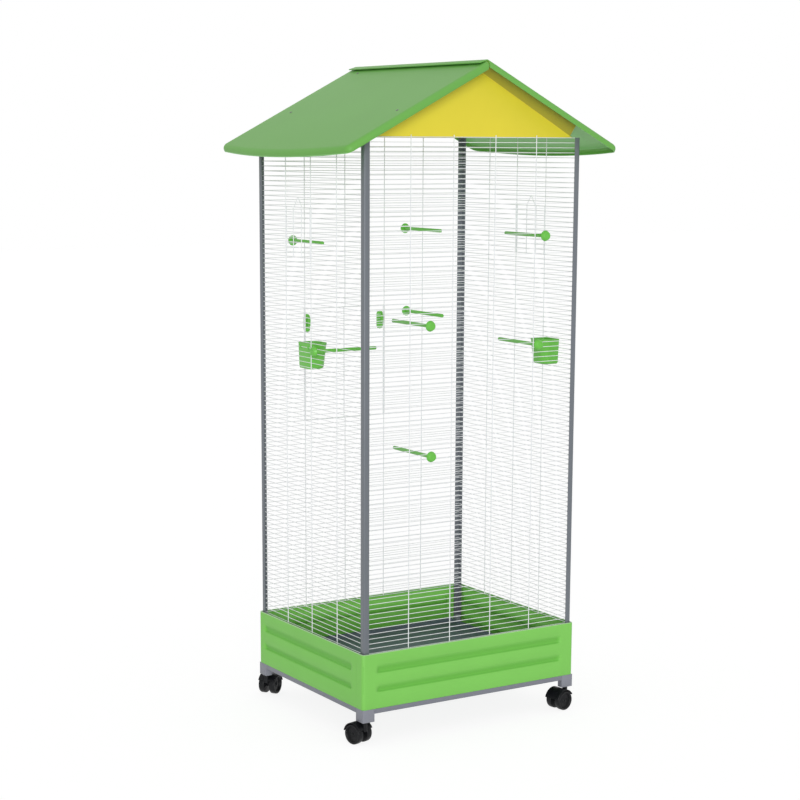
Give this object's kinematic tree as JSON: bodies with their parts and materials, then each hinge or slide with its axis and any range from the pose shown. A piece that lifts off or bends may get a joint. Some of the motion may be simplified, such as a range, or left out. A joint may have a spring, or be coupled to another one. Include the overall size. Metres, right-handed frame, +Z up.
{
  "type": "parrot cage",
  "caption": "Tall bird cage on casters: wire grids on corner posts, gabled sheet roof, pressed skirts, lift doors, rear service door, hooked feeders, stub perches and a slide-out pan.",
  "frame": {"origin": "bottom centre of the whole cage, on the floor under its middle", "axes": "+Z up; +X to the right seen from the front; -Y is the front grid and +Y the grid with the service door"},
  "size_m": [0.8106, 0.62, 1.625],
  "materials": {
    "green_sheet": "satin green powder coat",
    "yellow_sheet": "satin yellow powder coat",
    "grey_post": "semi-gloss dark grey coat",
    "white_wire": "gloss white coat on wire",
    "grey_rail": "satin grey coat",
    "grey_socket": "moulded grey plastic",
    "dark_pan": "fine-grained dark grey plastic",
    "green_plastic": "moulded green plastic",
    "black_plastic": "moulded black plastic"
  },
  "bodies": {
    "cage_frame": {"base_rail_front": "grey_rail", "base_rail_left": "grey_rail", "base_rail_rear": "grey_rail", "base_rail_right": "grey_rail", "corner_post_front_left": "grey_post", "corner_post_front_right": "grey_post", "corner_post_rear_left": "grey_post", "corner_post_rear_right": "grey_post", "corner_socket_front_left": "grey_socket", "corner_socket_front_right": "grey_socket", "corner_socket_rear_left": "grey_socket", "corner_socket_rear_right": "grey_socket", "gable_front": "yellow_sheet", "gable_rear": "yellow_sheet", "perch_rod_front_1": "green_plastic", "perch_rod_front_2": "green_plastic", "perch_rod_front_3": "green_plastic", "perch_rod_front_4": "green_plastic", "perch_rod_left_1": "green_plastic", "perch_rod_rear_1": "green_plastic", "perch_rod_rear_2": "green_plastic", "perch_rod_rear_3": "green_plastic", "roof_panel_left": "green_sheet", "roof_panel_right": "green_sheet", "skirt_front": "green_sheet", "skirt_left": "green_sheet", "skirt_rear": "green_sheet", "skirt_right": "green_sheet", "wire_grid_front": "white_wire", "wire_grid_left": "white_wire", "wire_grid_rear": "white_wire", "wire_grid_right": "white_wire"},
    "litter_pan": {"litter_pan": "dark_pan"},
    "lift_door_left": {"lift_door_left": "white_wire"},
    "lift_door_right": {"lift_door_right": "white_wire"},
    "service_door": {"service_door": "white_wire"},
    "door_latch_left": {"door_latch_left": "green_plastic"},
    "door_latch_right": {"door_latch_right": "green_plastic"},
    "feeder_cup_left": {"feeder_cup_left": "green_plastic"},
    "feeder_cup_right": {"feeder_cup_right": "green_plastic"},
    "caster_front_left": {"caster_hood_front_left": "black_plastic"},
    "wheel_front_left_a": {"caster_wheel_front_left_a": "black_plastic"},
    "wheel_front_left_b": {"caster_wheel_front_left_b": "black_plastic"},
    "caster_front_right": {"caster_hood_front_right": "black_plastic"},
    "wheel_front_right_a": {"caster_wheel_front_right_a": "black_plastic"},
    "wheel_front_right_b": {"caster_wheel_front_right_b": "black_plastic"},
    "caster_rear_left": {"caster_hood_rear_left": "black_plastic"},
    "wheel_rear_left_a": {"caster_wheel_rear_left_a": "black_plastic"},
    "wheel_rear_left_b": {"caster_wheel_rear_left_b": "black_plastic"},
    "caster_rear_right": {"caster_hood_rear_right": "black_plastic"},
    "wheel_rear_right_a": {"caster_wheel_rear_right_a": "black_plastic"},
    "wheel_rear_right_b": {"caster_wheel_rear_right_b": "black_plastic"},
    "perch_cap_front_1": {"perch_cap_front_1": "green_plastic"},
    "perch_cap_front_2": {"perch_cap_front_2": "green_plastic"},
    "perch_cap_front_3": {"perch_cap_front_3": "green_plastic"},
    "perch_cap_front_4": {"perch_cap_front_4": "green_plastic"},
    "perch_cap_rear_1": {"perch_cap_rear_1": "green_plastic"},
    "perch_cap_rear_2": {"perch_cap_rear_2": "green_plastic"},
    "perch_cap_rear_3": {"perch_cap_rear_3": "green_plastic"},
    "perch_cap_left_1": {"perch_cap_left_1": "green_plastic"}
  },
  "joints": [
    {"name": "litter_pan_slide", "type": "slide", "parent": "cage_frame", "child": "litter_pan", "axis": [0, 1, 0], "range_m": [0, 0.4]},
    {"name": "lift_door_left_slide", "type": "slide", "parent": "cage_frame", "child": "lift_door_left", "axis": [0, 0, 1], "range_m": [0, 0.12]},
    {"name": "lift_door_right_slide", "type": "slide", "parent": "cage_frame", "child": "lift_door_right", "axis": [0, 0, 1], "range_m": [0, 0.12]},
    {"name": "service_door_hinge", "type": "hinge", "parent": "cage_frame", "child": "service_door", "pos_m": [-0.06, 0.2566, 0.7206], "axis": [-1, 0, 0], "range_deg": [0, 175]},
    {"name": "door_latch_left_turn", "type": "hinge", "parent": "service_door", "child": "door_latch_left", "pos_m": [-0.1705, 0.2566, 0.96865], "axis": [0, -1, 0], "range_deg": [0, 90]},
    {"name": "door_latch_right_turn", "type": "hinge", "parent": "service_door", "child": "door_latch_right", "pos_m": [0.0505, 0.2566, 0.96865], "axis": [0, 1, 0], "range_deg": [0, 90]},
    {"name": "feeder_cup_left_lift", "type": "slide", "parent": "cage_frame", "child": "feeder_cup_left", "axis": [0, 0, 1], "range_m": [0, 0.006]},
    {"name": "feeder_cup_right_lift", "type": "slide", "parent": "cage_frame", "child": "feeder_cup_right", "axis": [0, 0, 1], "range_m": [0, 0.006]},
    {"name": "caster_swivel_front_left", "type": "hinge", "parent": "cage_frame", "child": "caster_front_left", "pos_m": [-0.302, -0.249, 0.06], "axis": [0, 0, 1], "continuous": true},
    {"name": "wheel_turn_front_left_a", "type": "hinge", "parent": "caster_front_left", "child": "wheel_front_left_a", "pos_m": [-0.32192, -0.2326, 0.025], "axis": [-0.9659, -0.2588, 0], "continuous": true},
    {"name": "wheel_turn_front_left_b", "type": "hinge", "parent": "caster_front_left", "child": "wheel_front_left_b", "pos_m": [-0.29295, -0.22483, 0.025], "axis": [-0.9659, -0.2588, 0], "continuous": true},
    {"name": "caster_swivel_front_right", "type": "hinge", "parent": "cage_frame", "child": "caster_front_right", "pos_m": [0.302, -0.249, 0.06], "axis": [0, 0, 1], "continuous": true},
    {"name": "wheel_turn_front_right_a", "type": "hinge", "parent": "caster_front_right", "child": "wheel_front_right_a", "pos_m": [0.28392, -0.26742, 0.025], "axis": [0.1736, -0.9848, 0], "continuous": true},
    {"name": "wheel_turn_front_right_b", "type": "hinge", "parent": "caster_front_right", "child": "wheel_front_right_b", "pos_m": [0.27871, -0.23787, 0.025], "axis": [0.1736, -0.9848, 0], "continuous": true},
    {"name": "caster_swivel_rear_left", "type": "hinge", "parent": "cage_frame", "child": "caster_rear_left", "pos_m": [-0.302, 0.249, 0.06], "axis": [0, 0, 1], "continuous": true},
    {"name": "wheel_turn_rear_left_a", "type": "hinge", "parent": "caster_rear_left", "child": "wheel_rear_left_a", "pos_m": [-0.2934, 0.27333, 0.025], "axis": [-0.5736, 0.8192, 0], "continuous": true},
    {"name": "wheel_turn_rear_left_b", "type": "hinge", "parent": "caster_rear_left", "child": "wheel_rear_left_b", "pos_m": [-0.27619, 0.24876, 0.025], "axis": [-0.5736, 0.8192, 0], "continuous": true},
    {"name": "caster_swivel_rear_right", "type": "hinge", "parent": "cage_frame", "child": "caster_rear_right", "pos_m": [0.302, 0.249, 0.06], "axis": [0, 0, 1], "continuous": true},
    {"name": "wheel_turn_rear_right_a", "type": "hinge", "parent": "caster_rear_right", "child": "wheel_rear_right_a", "pos_m": [0.2874, 0.22772, 0.025], "axis": [0.342, -0.9397, 0], "continuous": true},
    {"name": "wheel_turn_rear_right_b", "type": "hinge", "parent": "caster_rear_right", "child": "wheel_rear_right_b", "pos_m": [0.27714, 0.25591, 0.025], "axis": [0.342, -0.9397, 0], "continuous": true},
    {"name": "perch_cap_turn_front_1", "type": "hinge", "parent": "cage_frame", "child": "perch_cap_front_1", "pos_m": [-0.123, -0.2557, 1.00495], "axis": [0, -1, 0], "continuous": true},
    {"name": "perch_cap_turn_front_2", "type": "hinge", "parent": "cage_frame", "child": "perch_cap_front_2", "pos_m": [-0.118, -0.2557, 0.69035], "axis": [0, -1, 0], "continuous": true},
    {"name": "perch_cap_turn_front_3", "type": "hinge", "parent": "cage_frame", "child": "perch_cap_front_3", "pos_m": [0.211, -0.2557, 1.21065], "axis": [0, -1, 0], "continuous": true},
    {"name": "perch_cap_turn_front_4", "type": "hinge", "parent": "cage_frame", "child": "perch_cap_front_4", "pos_m": [0.1955, -0.2557, 0.94445], "axis": [0, -1, 0], "continuous": true},
    {"name": "perch_cap_turn_rear_1", "type": "hinge", "parent": "cage_frame", "child": "perch_cap_rear_1", "pos_m": [-0.214, 0.2557, 1.18645], "axis": [0, 1, 0], "continuous": true},
    {"name": "perch_cap_turn_rear_2", "type": "hinge", "parent": "cage_frame", "child": "perch_cap_rear_2", "pos_m": [0.125, 0.2557, 1.21065], "axis": [0, 1, 0], "continuous": true},
    {"name": "perch_cap_turn_rear_3", "type": "hinge", "parent": "cage_frame", "child": "perch_cap_rear_3", "pos_m": [0.13, 0.2557, 0.99285], "axis": [0, 1, 0], "continuous": true},
    {"name": "perch_cap_turn_left_1", "type": "hinge", "parent": "cage_frame", "child": "perch_cap_left_1", "pos_m": [-0.3087, -0.0165, 0.93235], "axis": [-1, 0, 0], "continuous": true}
  ]
}
